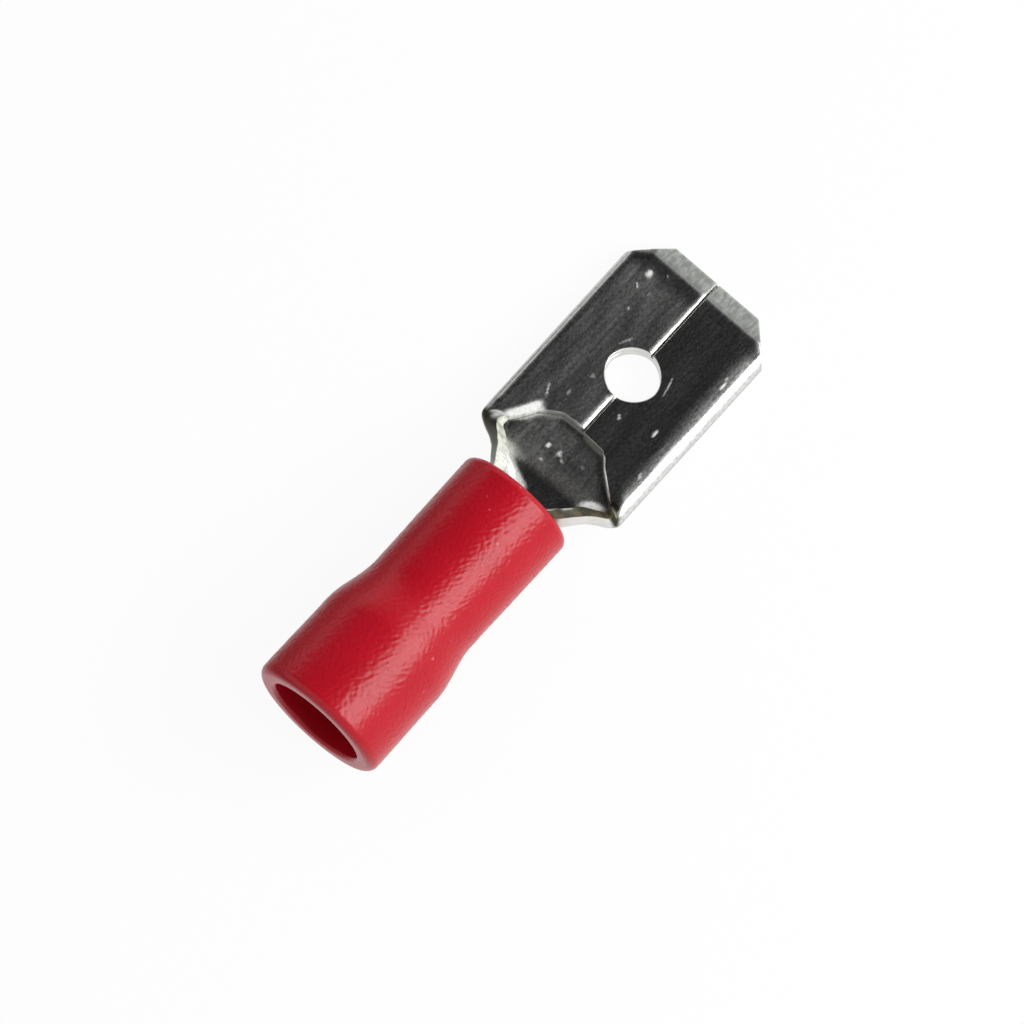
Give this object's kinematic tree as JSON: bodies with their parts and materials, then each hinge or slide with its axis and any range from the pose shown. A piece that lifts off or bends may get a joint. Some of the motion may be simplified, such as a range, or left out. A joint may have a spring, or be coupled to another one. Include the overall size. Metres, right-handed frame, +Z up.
{
  "type": "male spade terminal",
  "caption": "Pre-insulated male spade terminal: a folded flat tab with a round hole, an open trough and a rolled crimp barrel in a flared red sleeve.",
  "frame": {"origin": "centre of the bounding box in X and Y, on the surface that the terminal lies on", "axes": "+X from the wire entry towards the tab's tip, +Y across the tab, +Z up. The terminal lies as it comes to rest, on the sleeve's bell and the lower edge of the tab's tip, so its own length slopes down by 7.16 degrees towards the tip. The tab's seam faces up."},
  "size_m": [0.0212, 0.0064, 0.0061],
  "materials": {
    "tinned_brass": "bright tin plating over brass sheet, lightly scratched, with yellowish cut edges",
    "red_pvc": "soft red PVC with a satin sheen and a fine orange-peel surface"
  },
  "bodies": {
    "root": {"folded_terminal": "tinned_brass", "insulating_sleeve": "red_pvc"}
  },
  "joints": []
}
